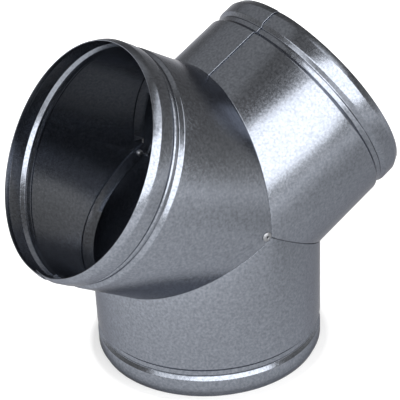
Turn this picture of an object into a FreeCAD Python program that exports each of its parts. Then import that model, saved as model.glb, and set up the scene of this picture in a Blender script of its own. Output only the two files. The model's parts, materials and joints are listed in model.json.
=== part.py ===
import FreeCAD, Part
import math
import os

# Duct Y branch of galvanised sheet steel: three legs of one diameter, 120 degrees apart in one upright plane.
# It stands on the trunk's mouth. The origin is the middle of that mouth, +Z is up, and -Y is the front.
# Sizes are in millimetres and angles in degrees.

# Legs
outside_diameter = 159.0
branch_length = 110.0
trunk_length = 114.0
sheet = 0.6

# Mouth of each leg: an edge turned inwards, a flat land, then a rolled channel for a seal, with a low rib in it
edge_length = 4.8
edge_inset = 2.3
land_length = 9.0
channel_depth = 1.5
near_flank = 1.9
rib_flank = 2.05
rib_height = 0.75
far_flank = 3.6

# Lap seam along each leg, placed off the line of the crotch towards the front
seam_turn = 9.0
lap_ramp = 16.0
lap_cover = 6.0
lap_clearance = 0.05

# Lips that one leg tucks inside its neighbour
lip_width = 8.0
lip_bend = 1.2
lip_clearance = 0.1
mitre_gap = 0.2
notch_margin = 2.0

# Blind rivets through the left leg's two corners
rivet_diameter = 3.2
rivet_setback = 4.6
rivet_head_diameter = 6.4
rivet_head_height = 1.0
rivet_bulb_diameter = 4.6
rivet_bulb_length = 2.6
rivet_hole_clearance = 0.1
rivet_seat_clearance = 0.06
mandrel_diameter = 1.8
mandrel_clearance = 0.05
mandrel_recess = 0.7
mandrel_tail = 1.4

radius = outside_diameter / 2
leg_angle = 360.0 / 3
mitre_angle = leg_angle / 2
reach = 4 * (outside_diameter + branch_length + trunk_length)
centre = FreeCAD.Vector(0, 0, trunk_length)
front = FreeCAD.Vector(0, -1, 0)
along = FreeCAD.Vector(0, 0, 1)
middle = FreeCAD.Vector(0, 0, 0)

# The lip lies one clearance inside the wall of its neighbour
lip_outer_radius = radius - sheet - lip_clearance
lip_inner_radius = lip_outer_radius - sheet


def leg_axis(tilt):
    """Direction of a leg that is turned by tilt from straight up, towards +X."""
    return FreeCAD.Vector(math.sin(math.radians(tilt)), 0, math.cos(math.radians(tilt)))


def leg_placement(tilt):
    """Place of a leg whose axis is turned by tilt from straight up, towards +X.

    In the leg's own frame the axis is +Z, the front is +Y, and +X points at the crotch with its seam.
    """
    axis = leg_axis(tilt)
    crotch = front.cross(axis)
    matrix = FreeCAD.Matrix(
        crotch.x, front.x, axis.x, centre.x,
        crotch.y, front.y, axis.y, centre.y,
        crotch.z, front.z, axis.z, centre.z,
        0, 0, 0, 1,
    )
    return FreeCAD.Placement(matrix)


trunk_tilt = 180.0
left_tilt = trunk_tilt + leg_angle
right_tilt = trunk_tilt - leg_angle
trunk_place = leg_placement(trunk_tilt)
left_place = leg_placement(left_tilt)
right_place = leg_placement(right_tilt)


def placed(shape, place):
    """Copy of a shape made in a leg's own frame, moved to that leg."""
    moved = shape.copy()
    moved.Placement = place
    return moved


# Rolled sheet

def wall_outline(length):
    """Outer face of a leg's wall from inside the junction to the mouth: distance from the axis, place along it."""
    edge_start = length - edge_length
    channel_start = edge_start - land_length
    near_root = channel_start - near_flank
    rib = near_root - rib_flank
    far_root = rib - rib_flank
    channel_end = far_root - far_flank
    return [
        (radius, -radius), (radius, channel_end), (radius - channel_depth, far_root),
        (radius - channel_depth + rib_height, rib), (radius - channel_depth, near_root),
        (radius, channel_start), (radius, edge_start), (radius - edge_inset, length),
    ]


def inset(outline, depth):
    """The outline moved towards the axis by depth, square to each of its straight parts."""
    parts = []
    for (start_across, start_along), (end_across, end_along) in zip(outline, outline[1:]):
        across = end_across - start_across
        along_axis = end_along - start_along
        size = math.hypot(across, along_axis)
        parts.append((
            start_across - depth * along_axis / size, start_along + depth * across / size,
            across / size, along_axis / size,
        ))
    moved = [(parts[0][0], outline[0][1])]
    for (x, z, across, rise), (next_x, next_z, next_across, next_rise) in zip(parts, parts[1:]):
        turn = across * next_rise - rise * next_across
        step = ((next_x - x) * next_rise - (next_z - z) * next_across) / turn
        moved.append((x + step * across, z + step * rise))
    x, z, across, rise = parts[-1]
    mouth = outline[-1][1]
    moved.append((x + (mouth - z) * across / rise, mouth))
    return moved


def half_section(length, depth):
    """Half section of the space inside a leg's surface that lies depth below the outer face of the sheet."""
    outline = [(0, -radius)] + inset(wall_outline(length), depth) + [(0, length), (0, -radius)]
    return Part.Face(Part.makePolygon([FreeCAD.Vector(x, 0, z) for x, z in outline]))


# The tail of the sheet leaves the round on a tighter arc and dives under the other end.
# At the cut edge it has dropped by the sheet's thickness across a sloped face, where that is most.
slopes = [
    math.atan2(edge_inset, edge_length), math.atan2(channel_depth, near_flank),
    math.atan2(rib_height, rib_flank), math.atan2(channel_depth, far_flank),
]
lap_drop = sheet / math.cos(max(slopes)) + lap_clearance
ramp_turn = lap_ramp / radius
tail_turn = (lap_ramp + lap_cover) / radius
under_radius = radius - lap_drop
tail_shift = (radius ** 2 - under_radius ** 2) / (2 * (radius - under_radius * math.cos(ramp_turn)))


def tail_sweep():
    """Angle that the tail turns about its own, shifted axis, in degrees."""
    inner = (radius - tail_shift) ** 2 - (tail_shift * math.sin(tail_turn)) ** 2
    distance = tail_shift * math.cos(tail_turn) + math.sqrt(inner)
    beside = distance * math.sin(tail_turn)
    ahead = distance * math.cos(tail_turn) - tail_shift
    return math.degrees(math.atan2(beside, ahead))


def rolled_sheet(length):
    """The sheet rolled to a tube in a leg's own frame, before its end is mitred."""
    section = half_section(length, 0).cut(half_section(length, sheet)).Faces[0]
    start = seam_turn + math.degrees(ramp_turn)
    section.rotate(middle, along, start)
    tube = section.revolve(middle, along, 360 - math.degrees(ramp_turn))
    outward = FreeCAD.Vector(math.cos(math.radians(start)), math.sin(math.radians(start)), 0)
    tail = section.revolve(outward * tail_shift, along, -tail_sweep())
    return tube.fuse(tail).removeSplitter()


# Mitres

def slab(side, near, far):
    """Space between near and far from a mitre plane, on the leg's own side of it, in the leg's own frame.

    The plane holds the Y axis. Side is +1 at the crotch with the seam and -1 at the other crotch.
    """
    turn = math.radians(mitre_angle)
    normal = FreeCAD.Vector(-side * math.cos(turn), 0, math.sin(turn))
    block = Part.makeBox(reach, reach, far - near, FreeCAD.Vector(-reach / 2, -reach / 2, near))
    block.Placement = FreeCAD.Placement(middle, FreeCAD.Rotation(along, normal))
    return block


def mitred(sheet_tube, seam_gap, other_gap):
    """The tube cut at its two mitre planes, drawn back from each by a gap."""
    cut = sheet_tube.common(slab(1, seam_gap, reach))
    return cut.common(slab(-1, other_gap, reach))


# Lips

def shell(outer, inner):
    """Plain round wall about a leg's axis."""
    height = 4 * outside_diameter
    base = FreeCAD.Vector(0, 0, -height / 2)
    return Part.makeCylinder(outer, height, base).cut(Part.makeCylinder(inner, height, base))


seam_front = radius * math.sin(math.radians(seam_turn) + ramp_turn) + notch_margin
seam_back = radius * math.sin(math.radians(seam_turn) - lap_cover / radius) - notch_margin
corner_notch = (lip_width + lip_bend) / math.sin(math.radians(mitre_angle)) + notch_margin


def lap_notch():
    """Room for the lap seam that each crotch holds, across the whole part."""
    corner = FreeCAD.Vector(-reach / 2, -seam_front, -reach / 2)
    return Part.makeBox(reach, seam_front - seam_back, reach, corner)


def corner_room():
    """Room about the line where the three legs meet, kept free of all lips but the riveted one."""
    base = centre + front * reach / 2
    return Part.makeCylinder(corner_notch, reach, base, front * -1)


def lip(owner, owner_side, host, host_side):
    """Set-in bend under the owner's own edge, and the lip that lies along the host's inside."""
    bend = shell(radius - sheet, lip_inner_radius).common(slab(owner_side, 0, lip_bend))
    bend = placed(bend.common(slab(-owner_side, 0, reach)), owner)
    strip = shell(lip_outer_radius, lip_inner_radius).common(slab(host_side, 0, lip_width))
    strip = placed(strip.common(slab(-host_side, mitre_gap, reach)), host)
    return bend.fuse(strip).cut(lap_notch())


# Rivets

rivet_line = centre + leg_axis(left_tilt) * rivet_setback
head_seat = radius + rivet_seat_clearance
bulb_seat = lip_inner_radius - rivet_seat_clearance


def turned(outline, side):
    """Solid turned about a rivet's axis. The outline gives (radius, distance from the Y branch's plane)."""
    points = [FreeCAD.Vector(across, -distance, 0) for across, distance in outline]
    wire = Part.makePolygon(points + points[:1])
    solid = Part.Face(wire).revolve(middle, FreeCAD.Vector(0, 1, 0), 360)
    if side < 0:
        solid = solid.mirror(middle, FreeCAD.Vector(0, 1, 0))
    solid.translate(rivet_line)
    return solid


def rivet(side):
    """Blind rivet: domed head, shank and the bulb that setting it swells, hollow for its mandrel."""
    shank = rivet_diameter / 2
    bore = mandrel_diameter / 2
    head = rivet_head_diameter / 2
    bulb = rivet_bulb_diameter / 2
    crown = head_seat + rivet_head_height
    tip = bulb_seat - rivet_bulb_length
    outline = [
        (bore, crown), (shank, crown), (head, head_seat), (shank, head_seat),
        (shank, bulb_seat), (bulb, bulb_seat), (shank, tip), (bore, tip),
    ]
    return turned(outline, side)


def mandrel(side):
    """Stub left in the rivet when the mandrel snaps off: a stem, and the round head that swelled the bulb."""
    stem = mandrel_diameter / 2 - mandrel_clearance
    snapped = head_seat + rivet_head_height - mandrel_recess
    tip = bulb_seat - rivet_bulb_length - mandrel_clearance
    end = tip - mandrel_tail
    outline = [(0, snapped), (stem, snapped), (stem, tip), (rivet_diameter / 2, tip), (stem, end), (0, end)]
    return turned(outline, side)


def rivet_holes():
    """Clearance holes for both rivets, on one line along Y."""
    hole = rivet_diameter / 2 + rivet_hole_clearance
    return Part.makeCylinder(hole, reach, rivet_line + front * reach / 2, front * -1)


trunk_blank = rolled_sheet(trunk_length)
branch_blank = rolled_sheet(branch_length)
holes = rivet_holes()

trunk = placed(mitred(trunk_blank, 0, 0), trunk_place)
trunk = trunk.fuse(lip(trunk_place, -1, left_place, 1))
trunk = trunk.fuse(lip(trunk_place, 1, right_place, -1).cut(corner_room()))
trunk = trunk.cut(holes).removeSplitter()

left_leg = placed(mitred(branch_blank, mitre_gap, mitre_gap), left_place).cut(holes)

right_leg = placed(mitred(branch_blank, 0, mitre_gap), right_place)
right_leg = right_leg.fuse(lip(right_place, 1, left_place, -1).cut(corner_room())).removeSplitter()

pieces = {
    "trunk": trunk,
    "left_leg": left_leg,
    "right_leg": right_leg,
    "corner_rivets": Part.makeCompound([rivet(1), rivet(-1)]),
    "rivet_mandrels": Part.makeCompound([mandrel(1), mandrel(-1)]),
}

os.makedirs("parts", exist_ok=True)
for name, shape in pieces.items():
    print(name, "solids", len(shape.Solids), "valid", shape.isValid(), "volume", round(shape.Volume, 1))
    shape.exportStep("parts/" + name + ".step")
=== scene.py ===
import json
import math

import bmesh
import bpy
from mathutils import Matrix, Quaternion, Vector


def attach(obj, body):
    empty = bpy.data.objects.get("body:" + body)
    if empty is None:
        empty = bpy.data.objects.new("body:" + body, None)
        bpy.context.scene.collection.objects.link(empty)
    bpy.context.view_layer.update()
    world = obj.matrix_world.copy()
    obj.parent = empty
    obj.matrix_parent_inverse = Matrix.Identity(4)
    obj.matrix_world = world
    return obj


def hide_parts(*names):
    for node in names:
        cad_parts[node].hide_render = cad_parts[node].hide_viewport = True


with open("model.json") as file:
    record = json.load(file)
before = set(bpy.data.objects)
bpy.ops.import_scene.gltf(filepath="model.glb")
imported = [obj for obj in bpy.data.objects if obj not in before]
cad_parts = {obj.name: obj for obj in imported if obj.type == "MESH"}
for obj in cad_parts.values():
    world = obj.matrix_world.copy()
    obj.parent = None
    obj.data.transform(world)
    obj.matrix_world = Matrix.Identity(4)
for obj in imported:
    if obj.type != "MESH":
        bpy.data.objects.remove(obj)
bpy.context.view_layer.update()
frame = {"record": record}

# Trunk
# The lower leg is one zinc-coated steel sheet, rolled to a tube and lapped along a seam. Its mouth is
# turned in, with a flat land and a rolled, ribbed channel behind it. Its mitred top is set in to lips
# that tuck into both branches.

mm = 0.001
sheet = 0.6 * mm
edge_length = 4.8 * mm
edge_inset = 2.3 * mm
land_length = 9.0 * mm
channel_depth = 2.3 * mm
near_flank = 2.7 * mm
rib_flank = 1.2 * mm
rib_height = 0.75 * mm
rib_back = 2.8 * mm
far_flank = 2.5 * mm
fold_round = 0.5 * mm
fold_segments = 3
tube_steps = 336

seam_turn = math.radians(9.0)
lap_ramp = 16.0 * mm
lap_cover = 6.0 * mm
lap_drop = 0.815 * mm
tail_steps = 20

lip_width = 8.0 * mm
lip_bend = 1.2 * mm
lip_clearance = 0.1 * mm
mitre_gap = 0.2 * mm
notch_margin = 2.0 * mm
fine_round = 0.12 * mm
round_segments = 3
cut_angle = math.radians(60)
smooth_angle = math.radians(34)
close_by = 0.3 * mm
hair = 0.001 * mm

spigots = {mount["name"]: mount for mount in frame["record"]["mounts"]}
leg_radius = spigots["trunk_spigot"]["dims"]["r_mm"] * mm
left_place = Vector(spigots["left_spigot"]["pos_m"])
left_axis = Vector(spigots["left_spigot"]["axis"])
trunk_length = left_place.z - left_place.x / left_axis.x * left_axis.z
meeting = Vector((0, 0, trunk_length))
front = Vector((0, -1, 0))
mitre_angle = math.radians(60)
trunk_tilt = math.radians(180)
left_tilt = math.radians(-60)
right_tilt = math.radians(60)
ramp_turn = lap_ramp / leg_radius
lip_radius = leg_radius - sheet - lip_clearance
small_corner = lip_bend / math.sin(mitre_angle) + notch_margin


def leg_axis(tilt):
    """Direction of a leg that leans by tilt from straight up, towards +X."""
    return Vector((math.sin(tilt), 0, math.cos(tilt)))


def leg_matrix(tilt):
    """From a leg's frame to the part's. In a leg's, +Z is its axis, +Y the front, +X its seam's crotch."""
    axis = leg_axis(tilt)
    turn = Matrix((front.cross(axis), front, axis)).transposed()
    return Matrix.Translation(meeting) @ turn.to_4x4()


def start_chain(name, points):
    """New object, left in edit mode: a plane merged to one vertex, then drawn out along points."""
    bpy.ops.object.select_all(action="DESELECT")
    bpy.ops.mesh.primitive_plane_add(size=mm)
    piece = bpy.context.object
    piece.name = name
    bpy.ops.object.mode_set(mode="EDIT")
    bpy.ops.mesh.select_all(action="SELECT")
    bpy.ops.mesh.merge(type="CENTER")
    bpy.ops.transform.translate(value=points[0])
    for before, after in zip(points, points[1:]):
        bpy.ops.mesh.extrude_region_move(TRANSFORM_OT_translate={"value": after - before})
    return piece


def pick(piece, wanted):
    """In edit mode, selects only what lies at places that wanted accepts."""
    bpy.ops.mesh.select_all(action="DESELECT")
    mesh = bmesh.from_edit_mesh(piece.data)
    for vertex in mesh.verts:
        vertex.select_set(wanted(vertex.co))
    mesh.select_flush(True)
    bmesh.update_edit_mesh(piece.data)


def spin_about(place, turn, steps):
    """Spins what is selected about an upright axis, anticlockwise as seen from above."""
    bpy.ops.mesh.spin(steps=steps, angle=turn, center=place, axis=(0, 0, -1))


def close_up():
    """Merges doubles and turns all faces outwards."""
    bpy.ops.mesh.select_all(action="SELECT")
    bpy.ops.mesh.remove_doubles(threshold=hair)
    bpy.ops.mesh.normals_make_consistent(inside=False)


def keep_beyond(normal, distance):
    """Cuts off all that lies behind a plane, which stands at distance along its normal."""
    bpy.ops.mesh.select_all(action="SELECT")
    bpy.ops.mesh.bisect(plane_co=normal * distance, plane_no=normal, clear_inner=True)
    bpy.ops.mesh.remove_doubles(threshold=close_by)


def mitre_normal(side):
    """Normal of a mitre plane, in the leg's frame. Side is 1 at its seam's crotch, -1 at the other."""
    return Vector((-side * math.cos(mitre_angle), 0, math.sin(mitre_angle)))


def leg_outline(length):
    """Points of the leg's wall from the mitre to the mouth, in the plane of X and Z."""
    edge_start = length - edge_length
    channel_start = edge_start - land_length
    near_root = channel_start - near_flank
    rib = near_root - rib_flank
    far_root = rib - rib_back
    outline = [
        (leg_radius, -lap_cover), (leg_radius, far_root - far_flank),
        (leg_radius - channel_depth, far_root),
        (leg_radius - channel_depth + rib_height, rib), (leg_radius - channel_depth, near_root),
        (leg_radius, channel_start), (leg_radius, edge_start), (leg_radius - edge_inset, length),
    ]
    return [Vector((across, 0, along)) for across, along in outline]


def lap_tail(piece):
    """Spins the sheet's first end on about a shifted axis, so that it dives under the other end."""
    under = leg_radius - lap_drop
    shift = (leg_radius ** 2 - under ** 2) / (2 * (leg_radius - under * math.cos(ramp_turn)))
    turn = (lap_ramp + lap_cover) / leg_radius
    beside = math.sqrt((leg_radius - shift) ** 2 - (shift * math.sin(turn)) ** 2)
    reach = shift * math.cos(turn) + beside
    sweep = math.atan2(reach * math.sin(turn), reach * math.cos(turn) - shift)
    pick(piece, lambda place: abs(place.y) < hair and place.x > 0)
    spin_about((shift, 0, 0), -sweep, tail_steps)


def rolled_tube(name, tilt, length, seam_gap, other_gap, front_gap=0):
    """A leg's sheet without thickness: rolled, lapped, mitred, in place. One mitre may gape at the front."""
    outline = leg_outline(length)
    piece = start_chain(name, outline)
    pick(piece, lambda place: outline[0].z + mm < place.z < outline[-1].z - mm)
    bpy.ops.mesh.bevel(offset=fold_round, segments=fold_segments, affect="VERTICES")
    bpy.ops.mesh.select_all(action="SELECT")
    spin_about((0, 0, 0), 2 * math.pi - ramp_turn, tube_steps)
    lap_tail(piece)
    close_up()
    bpy.ops.object.mode_set(mode="OBJECT")
    piece.data.transform(Matrix.Rotation(seam_turn + ramp_turn, 4, "Z"))
    bpy.ops.object.mode_set(mode="EDIT")
    keep_beyond(mitre_normal(1), seam_gap)
    lean = Vector((0, front_gap / leg_radius / 2, 0))
    keep_beyond(mitre_normal(-1) - lean, other_gap + front_gap / 2)
    bpy.ops.object.mode_set(mode="OBJECT")
    piece.data.transform(leg_matrix(tilt))
    return piece


def lip_band(tilt, side, width, gap):
    """Plain band about a leg's axis at the lip's radius, from a mitre plane to width from it."""
    ends = [Vector((lip_radius, 0, along)) for along in (-trunk_length, trunk_length)]
    piece = start_chain("lip_band", ends)
    bpy.ops.mesh.select_all(action="SELECT")
    spin_about((0, 0, 0), 2 * math.pi, tube_steps)
    close_up()
    keep_beyond(mitre_normal(side), 0)
    keep_beyond(-mitre_normal(side), -width)
    keep_beyond(mitre_normal(-side), gap)
    bpy.ops.object.mode_set(mode="OBJECT")
    piece.data.transform(leg_matrix(tilt))
    return piece


def join_to(piece, *others):
    """Makes other objects part of a piece."""
    bpy.ops.object.select_all(action="DESELECT")
    for part in (piece, *others):
        part.select_set(True)
    bpy.context.view_layer.objects.active = piece
    bpy.ops.object.join()


def tucked_lip(owner_tilt, owner_side, host_tilt, host_side, corner):
    """Lip that one leg tucks inside its neighbour, notched for the seam. It stops short by corner."""
    bend = lip_band(owner_tilt, owner_side, lip_bend, 0)
    strip = lip_band(host_tilt, host_side, lip_width, mitre_gap)
    join_to(strip, bend)
    bpy.ops.object.mode_set(mode="EDIT")
    bpy.ops.mesh.select_all(action="SELECT")
    bpy.ops.mesh.remove_doubles(threshold=hair)
    notch_front = -leg_radius * math.sin(seam_turn + ramp_turn) - notch_margin
    notch_back = -leg_radius * math.sin(seam_turn - lap_cover / leg_radius) + notch_margin
    for depth in (notch_front, notch_back):
        bpy.ops.mesh.select_all(action="SELECT")
        bpy.ops.mesh.bisect(plane_co=(0, depth, 0), plane_no=(0, 1, 0))
    pick(strip, lambda place: notch_front - hair < place.y < notch_back + hair)
    bpy.ops.mesh.delete(type="FACE")
    if corner:
        outwards = (leg_axis(owner_tilt) + leg_axis(host_tilt)).normalized()
        keep_beyond(outwards, corner + meeting.dot(outwards))
    bpy.ops.object.mode_set(mode="OBJECT")
    return strip


def apply_modifier(piece, kind, **settings):
    """Adds a modifier with its settings and applies it."""
    bpy.ops.object.select_all(action="DESELECT")
    piece.select_set(True)
    bpy.context.view_layer.objects.active = piece
    modifier = piece.modifiers.new(kind.lower(), kind)
    for name, value in settings.items():
        setattr(modifier, name, value)
    bpy.ops.object.modifier_apply(modifier=modifier.name)


def give_thickness(piece, edge_round):
    """Grows the sheet's thickness inwards, rounds its cut edges and shades its rolled faces smooth."""
    apply_modifier(piece, "SOLIDIFY", thickness=sheet, offset=-1, use_even_offset=True)
    apply_modifier(
        piece, "BEVEL", width=edge_round, segments=round_segments, limit_method="ANGLE",
        angle_limit=cut_angle, use_clamp_overlap=False,
    )
    bpy.ops.object.shade_smooth_by_angle(angle=smooth_angle)


def colour(hex_value):
    """Linear colour of an sRGB hex value."""
    shares = [int(hex_value[place:place + 2], 16) / 255 for place in (1, 3, 5)]
    linear = [share / 12.92 if share <= 0.04045 else ((share + 0.055) / 1.055) ** 2.4 for share in shares]
    return (*linear, 1)


def add_node(tree, kind, inputs=None, **settings):
    """Adds a node with its properties as settings. Inputs are values or other nodes' outputs by socket."""
    node = tree.nodes.new(kind)
    for name, value in settings.items():
        setattr(node, name, value)
    for socket, value in (inputs or {}).items():
        if isinstance(value, bpy.types.NodeSocket):
            tree.links.new(value, node.inputs[socket])
        else:
            node.inputs[socket].default_value = value
    return node


def new_material(name):
    """New material with nothing but its output node."""
    material = bpy.data.materials.new(name)
    material.use_nodes = True
    material.node_tree.nodes.clear()
    output = add_node(material.node_tree, "ShaderNodeOutputMaterial")
    return material, material.node_tree, output


# Hot-dip galvanised sheet: a thin skin of zinc that froze into fine crystals. The eye gets a cool grey
# metal, half bright, with a faint grain where one crystal reflects a little more than the next. The grain
# is drawn a little coarser than life, so that it shows.
zinc_dark = "#7b8089"
zinc_light = "#9da2ac"
grain_size = 1.7 * mm
grain_detail = 4.0
grain_low = 0.25
grain_high = 0.75
dimple_size = 1.3 * mm
dimple_detail = 2.0
dimple_height = 0.022 * mm
zinc_smooth = 0.21
zinc_rough = 0.27
zinc_rim = "#c8c8cc"

galvanised, tree, output = new_material("galvanised_zinc_sheet")
place = add_node(tree, "ShaderNodeTexCoord").outputs["Object"]
grain = add_node(
    tree, "ShaderNodeTexNoise", {"Vector": place, "Scale": 1 / grain_size, "Detail": grain_detail},
)
dimples = add_node(
    tree, "ShaderNodeTexNoise", {"Vector": place, "Scale": 1 / dimple_size, "Detail": dimple_detail},
)
tint = add_node(tree, "ShaderNodeValToRGB", {"Fac": grain.outputs["Fac"]})
tint.color_ramp.elements[0].color = colour(zinc_dark)
tint.color_ramp.elements[0].position = grain_low
tint.color_ramp.elements[1].color = colour(zinc_light)
tint.color_ramp.elements[1].position = grain_high
gloss = add_node(
    tree, "ShaderNodeMapRange",
    {
        "Value": grain.outputs["Fac"], "From Min": grain_low, "From Max": grain_high,
        "To Min": zinc_smooth, "To Max": zinc_rough,
    },
)
relief = add_node(
    tree, "ShaderNodeBump",
    {"Height": dimples.outputs["Fac"], "Distance": dimple_height, "Strength": 1.0},
)
zinc = add_node(
    tree, "ShaderNodeBsdfPrincipled",
    {
        "Base Color": tint.outputs["Color"], "Metallic": 1.0, "Specular Tint": colour(zinc_rim),
        "Roughness": gloss.outputs["Result"], "Normal": relief.outputs["Normal"],
    },
)
tree.links.new(zinc.outputs["BSDF"], output.inputs["Surface"])


def finish_leg(piece, node, edge_round):
    """Gives a leg its thickness, its zinc and its place in the assembly."""
    give_thickness(piece, edge_round)
    piece.data.materials.append(galvanised)
    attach(piece, "root")
    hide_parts(node)


trunk = rolled_tube("trunk_sheet", trunk_tilt, trunk_length, 0, 0)
lip_in_left = tucked_lip(trunk_tilt, -1, left_tilt, 1, 0)
lip_in_right = tucked_lip(trunk_tilt, 1, right_tilt, -1, small_corner)
join_to(trunk, lip_in_left, lip_in_right)
finish_leg(trunk, "trunk", fine_round)

# Left leg
# The branch whose mouth faces the viewer, rolled from the same sheet as the trunk. It has no lip of its
# own: its two mitred edges lie over the lips of its neighbours, and its corners are riveted.

branch_length = (left_place - meeting).length + land_length / 2 + edge_length
close_gap = 0.02 * mm
left_leg = rolled_tube("left_leg_sheet", left_tilt, branch_length, mitre_gap, close_gap)
finish_leg(left_leg, "left_leg", fine_round)

# Right leg
# The branch that points away, rolled like the others. Its edge towards the left leg is folded in to a lip
# that tucks inside that leg, and its lower edge lies over the trunk's lip and gapes a little at the front.

open_gap = 0.55 * mm
cut_round = 0.28 * mm
lip_fold = 0.75 * mm
lip_fold_segments = 4
fold_depth = 0.8 * mm
large_corner = (lip_width + lip_bend) / math.sin(mitre_angle) + notch_margin


def fold_in(piece):
    """Turns the edge at the left leg inwards, over a round fold, to where its lip begins."""
    axis = leg_axis(right_tilt)
    share = 1 - fold_depth / leg_radius
    outer = leg_radius - fold_depth / 3
    bpy.ops.object.mode_set(mode="EDIT")
    pick(piece, lambda place: abs(place.x) < close_by)
    bpy.ops.mesh.extrude_region_move(TRANSFORM_OT_translate={"value": (0, 0, 0)})
    bpy.ops.transform.resize(value=(share, share, share), center_override=meeting)
    pick(piece, lambda place: abs(place.x) < close_by and axis.cross(place - meeting).length > outer)
    bpy.ops.mesh.bevel(offset=lip_fold, segments=lip_fold_segments, affect="EDGES")
    bpy.ops.object.mode_set(mode="OBJECT")


right_leg = rolled_tube("right_leg_sheet", right_tilt, branch_length, 0, close_gap, open_gap)
fold_in(right_leg)
lip_in_neighbour = tucked_lip(right_tilt, 1, left_tilt, -1, large_corner)
join_to(right_leg, lip_in_neighbour)
finish_leg(right_leg, "right_leg", cut_round)

# Corner rivets
# Two aluminium blind rivets, one at the front corner and one at the back, where all three legs meet.
# Setting them swelled the shank to a bulb inside the duct and left the mandrel's hole open in the head.

rivet_setback = 4.6 * mm
shank_radius = 1.6 * mm
head_radius = 3.2 * mm
head_height = 1.0 * mm
bulb_radius = 2.3 * mm
bulb_length = 2.6 * mm
bore_radius = 0.9 * mm
seat_clearance = 0.06 * mm
rivet_steps = 48
rivet_round = 0.22 * mm
rivet_smooth_angle = math.radians(40)

rivet_line = meeting + leg_axis(left_tilt) * rivet_setback
head_seat = leg_radius + seat_clearance
bulb_seat = lip_radius - sheet - seat_clearance
head_crown = head_seat + head_height
bulb_tip = bulb_seat - bulb_length


def turned_pair(name, outline, rounding):
    """Two like pieces, turned in the rivets' places. Outline: radius and distance from the rivets' line."""
    points = [Vector((across, 0, out)) for across, out in outline]
    piece = start_chain(name, points)
    bpy.ops.mesh.select_all(action="SELECT")
    bpy.ops.mesh.remove_doubles(threshold=hair)
    pick(piece, lambda place: place.x > hair)
    bpy.ops.mesh.bevel(offset=rounding, segments=round_segments, affect="VERTICES")
    bpy.ops.mesh.select_all(action="SELECT")
    spin_about((0, 0, 0), 2 * math.pi, rivet_steps)
    close_up()
    bpy.ops.object.mode_set(mode="OBJECT")
    bpy.ops.object.shade_smooth_by_angle(angle=rivet_smooth_angle)
    rear = piece.copy()
    rear.data = piece.data.copy()
    bpy.context.collection.objects.link(rear)
    out_front = Matrix.Rotation(math.radians(90), 4, "X")
    out_back = Matrix.Rotation(math.radians(-90), 4, "X")
    piece.data.transform(Matrix.Translation(rivet_line) @ out_front)
    rear.data.transform(Matrix.Translation(rivet_line) @ out_back)
    join_to(piece, rear)
    return piece


rivet_outline = [
    (bore_radius, head_crown), (shank_radius, head_crown),
    (head_radius, head_seat + head_height / 3), (head_radius, head_seat),
    (shank_radius, head_seat), (shank_radius, bulb_seat),
    (bulb_radius, bulb_seat), (bulb_radius, (bulb_seat + bulb_tip) / 2),
    (shank_radius, bulb_tip), (bore_radius, bulb_tip), (bore_radius, head_crown),
]
rivets = turned_pair("corner_rivet_bodies", rivet_outline, rivet_round)

# Drawn aluminium, tumbled to a soft shine: a little paler and duller than the zinc, with fine scuffs from
# the setting tool.
aluminium_dark = "#8a8c90"
aluminium_light = "#acaeb2"
aluminium_smooth = 0.35
aluminium_rough = 0.5
scuff_size = 0.5 * mm
scuff_detail = 3.0
aluminium, tree, output = new_material("tumbled_aluminium")
place = add_node(tree, "ShaderNodeTexCoord").outputs["Object"]
scuffs = add_node(
    tree, "ShaderNodeTexNoise", {"Vector": place, "Scale": 1 / scuff_size, "Detail": scuff_detail},
)
tint = add_node(tree, "ShaderNodeValToRGB", {"Fac": scuffs.outputs["Fac"]})
tint.color_ramp.elements[0].color = colour(aluminium_dark)
tint.color_ramp.elements[1].color = colour(aluminium_light)
gloss = add_node(
    tree, "ShaderNodeMapRange",
    {"Value": scuffs.outputs["Fac"], "To Min": aluminium_smooth, "To Max": aluminium_rough},
)
body = add_node(
    tree, "ShaderNodeBsdfPrincipled",
    {"Base Color": tint.outputs["Color"], "Metallic": 1.0, "Roughness": gloss.outputs["Result"]},
)
tree.links.new(body.outputs["BSDF"], output.inputs["Surface"])
rivets.data.materials.append(aluminium)
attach(rivets, "root")
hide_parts("corner_rivets")

# Rivet mandrels
# The steel stubs that stay in the rivets: each stem snapped off below the head, and its own round head
# holds the bulb from inside.

mandrel_clearance = 0.05 * mm
mandrel_recess = 0.7 * mm
mandrel_tail = 1.4 * mm
stem_radius = bore_radius - mandrel_clearance
snapped_end = head_crown - mandrel_recess
tail_start = bulb_tip - mandrel_clearance
tail_end = tail_start - mandrel_tail
mandrel_round = 0.15 * mm
mandrel_outline = [
    (0, snapped_end), (stem_radius, snapped_end), (stem_radius, tail_start),
    (shank_radius, tail_start), (stem_radius, tail_end), (0, tail_end),
]
mandrels = turned_pair("rivet_mandrel_stubs", mandrel_outline, mandrel_round)

# Plain drawn steel, dull and dark where it tore off.
steel_dark = "#26282b"
steel_light = "#4c4f54"
steel_rough = 0.55
tear_size = 0.35 * mm
tear_detail = 3.0
dark_steel, tree, output = new_material("snapped_steel_wire")
place = add_node(tree, "ShaderNodeTexCoord").outputs["Object"]
tear = add_node(
    tree, "ShaderNodeTexNoise", {"Vector": place, "Scale": 1 / tear_size, "Detail": tear_detail},
)
tint = add_node(tree, "ShaderNodeValToRGB", {"Fac": tear.outputs["Fac"]})
tint.color_ramp.elements[0].color = colour(steel_dark)
tint.color_ramp.elements[1].color = colour(steel_light)
stub = add_node(
    tree, "ShaderNodeBsdfPrincipled",
    {"Base Color": tint.outputs["Color"], "Metallic": 1.0, "Roughness": steel_rough},
)
tree.links.new(stub.outputs["BSDF"], output.inputs["Surface"])
mandrels.data.materials.append(dark_steel)
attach(mandrels, "root")
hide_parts("rivet_mandrels")

# Floor
# A plain table top of pale painted board, wide enough to fill every view. It takes the part's shadow.
# Camera rays see it lifted to white. So do mirror rays, but less at the right front and hardly at all
# inside the trunk. Both are painted shade: a dim pool at the right front, and the lift cut under and
# around the trunk's foot, so that the trunk's inside stays dark.

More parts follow.
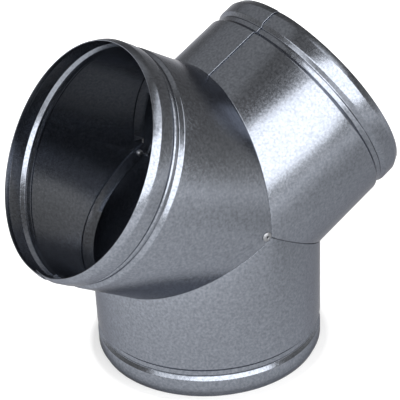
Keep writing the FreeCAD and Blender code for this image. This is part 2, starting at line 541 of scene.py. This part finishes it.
floor_width = 12.0
board_grey = "#b2b2b2"
board_white = "#ffffff"
board_rough = 0.9
floor_lift = 0.8
camera_lift = 0.5
# Painted shade: the lift fades out towards this spot at the right front, so the mirrored floor is dimmer
# there.
painted_shade_place = (0.3, -0.35, 0)
painted_shade_reach = 0.05
lift_full = 0.9
# Painted shade under the trunk: within inner_edge of its axis the lift keeps only this share. It grows back
# to full by outer_edge.
lift_share_in_painted_shade = 0.06
inner_edge = 1.05 * leg_radius
outer_edge = 1.14 * leg_radius
bpy.ops.object.select_all(action="DESELECT")
bpy.ops.mesh.primitive_plane_add(size=floor_width, location=(0, 0, -hair))
floor = bpy.context.object
floor.name = "table_top"
white_board, tree, output = new_material("white_board")
rays = add_node(tree, "ShaderNodeLightPath")
seen = add_node(
    tree, "ShaderNodeMath",
    {0: rays.outputs["Is Glossy Ray"], 1: rays.outputs["Is Transmission Ray"]}, operation="MAXIMUM",
)
seen = add_node(
    tree, "ShaderNodeMath",
    {0: seen.outputs["Value"], 1: rays.outputs["Is Camera Ray"]}, operation="MAXIMUM",
)
place = add_node(tree, "ShaderNodeTexCoord").outputs["Object"]
# Painted shade pool: less lift near the spot at the right front.
from_painted_shade = add_node(tree, "ShaderNodeVectorMath", {0: place, 1: painted_shade_place}, operation="DISTANCE")
fade = add_node(
    tree, "ShaderNodeMapRange",
    {
        "Value": from_painted_shade.outputs["Value"], "From Min": painted_shade_reach, "From Max": lift_full,
        "To Max": floor_lift,
    },
)
# Painted shade under and around the trunk's foot: the lift is cut there.
from_axis = add_node(tree, "ShaderNodeVectorMath", {0: place}, operation="LENGTH")
outside = add_node(
    tree, "ShaderNodeMapRange",
    {
        "Value": from_axis.outputs["Value"], "From Min": inner_edge, "From Max": outer_edge,
        "To Min": lift_share_in_painted_shade,
    },
)
seen = add_node(
    tree, "ShaderNodeMath",
    {0: seen.outputs["Value"], 1: outside.outputs["Result"]}, operation="MULTIPLY",
)
lift = add_node(
    tree, "ShaderNodeMath",
    {0: seen.outputs["Value"], 1: fade.outputs["Result"]}, operation="MULTIPLY",
)
lift = add_node(
    tree, "ShaderNodeMath",
    {0: rays.outputs["Is Camera Ray"], 1: camera_lift, 2: lift.outputs["Value"]},
    operation="MULTIPLY_ADD",
)
board = add_node(
    tree, "ShaderNodeBsdfPrincipled",
    {
        "Base Color": colour(board_grey), "Roughness": board_rough,
        "Emission Color": colour(board_white), "Emission Strength": lift.outputs["Value"],
    },
)
tree.links.new(board.outputs["BSDF"], output.inputs["Surface"])
floor.data.materials.append(white_board)

# Studio light
# A large softbox stands in front, a little to the left, with smaller ones to the left and the right, and a
# dim one hangs over the back. The room around them has pale walls and a darker ceiling.

wall_foot = "#cccac6"
wall_middle = "#9d9b97"
ceiling_grey = "#74726f"
middle_height = 0.15
ceiling_height = 0.4


def add_softbox(name, azimuth, elevation, distance, width, height, radiance):
    """Area light that faces the part's middle. Azimuth runs from the front towards +X, in degrees."""
    turn = math.radians(azimuth)
    rise = math.radians(elevation)
    towards = Vector((math.sin(turn) * math.cos(rise), -math.cos(turn) * math.cos(rise), math.sin(rise)))
    lamp = bpy.data.lights.new(name, "AREA")
    lamp.shape = "RECTANGLE"
    lamp.size = width
    lamp.size_y = height
    lamp.energy = radiance * math.pi * width * height
    box = bpy.data.objects.new(name, lamp)
    box.location = meeting + towards * distance
    box.rotation_euler = towards.to_track_quat("Z", "Y").to_euler()
    bpy.context.collection.objects.link(box)


add_softbox("front_softbox", azimuth=-10, elevation=30, distance=1.2, width=1.7, height=1.0, radiance=3.5)
add_softbox("left_softbox", azimuth=-70, elevation=31, distance=1.2, width=0.8, height=0.8, radiance=2.0)
add_softbox("right_softbox", azimuth=44, elevation=52, distance=1.2, width=0.8, height=0.7, radiance=1.5)
add_softbox("back_softbox", azimuth=-160, elevation=55, distance=1.6, width=2.2, height=2.0, radiance=0.24)

world = bpy.data.worlds.new("grey_room")
bpy.context.scene.world = world
world.use_nodes = True
tree = world.node_tree
direction = add_node(tree, "ShaderNodeTexCoord").outputs["Generated"]
height = add_node(tree, "ShaderNodeSeparateXYZ", {"Vector": direction})
walls = add_node(tree, "ShaderNodeValToRGB", {"Fac": height.outputs["Z"]})
walls.color_ramp.elements[0].color = colour(wall_foot)
walls.color_ramp.elements[1].color = colour(ceiling_grey)
walls.color_ramp.elements[1].position = ceiling_height
walls.color_ramp.elements.new(middle_height).color = colour(wall_middle)
tree.links.new(walls.outputs["Color"], tree.nodes["Background"].inputs["Color"])

# Camera
# It stands to the left of the front and looks down at the crotch of the branches through a long lens.

camera_azimuth = math.radians(32.211)
camera_elevation = math.radians(27.626)
camera_distance = 917.7 * mm
camera_roll = math.radians(-2.654)
camera_aside = Vector((-2.97, 0, -4.5)) * mm
camera_target = meeting + camera_aside
sensor_width = 36.0
lens_length = 120.77

lens = bpy.data.cameras.new("long_lens")
lens.sensor_width = sensor_width
lens.lens = lens_length
camera = bpy.data.objects.new("camera", lens)
bpy.context.collection.objects.link(camera)
back = Vector((
    -math.sin(camera_azimuth) * math.cos(camera_elevation),
    -math.cos(camera_azimuth) * math.cos(camera_elevation),
    math.sin(camera_elevation),
))
camera.location = camera_target + back * camera_distance
level = back.to_track_quat("Z", "Y")
camera.rotation_euler = (level @ Quaternion((0, 0, 1), camera_roll)).to_euler()
bpy.context.scene.camera = camera
bpy.context.scene.view_settings.view_transform = "Standard"
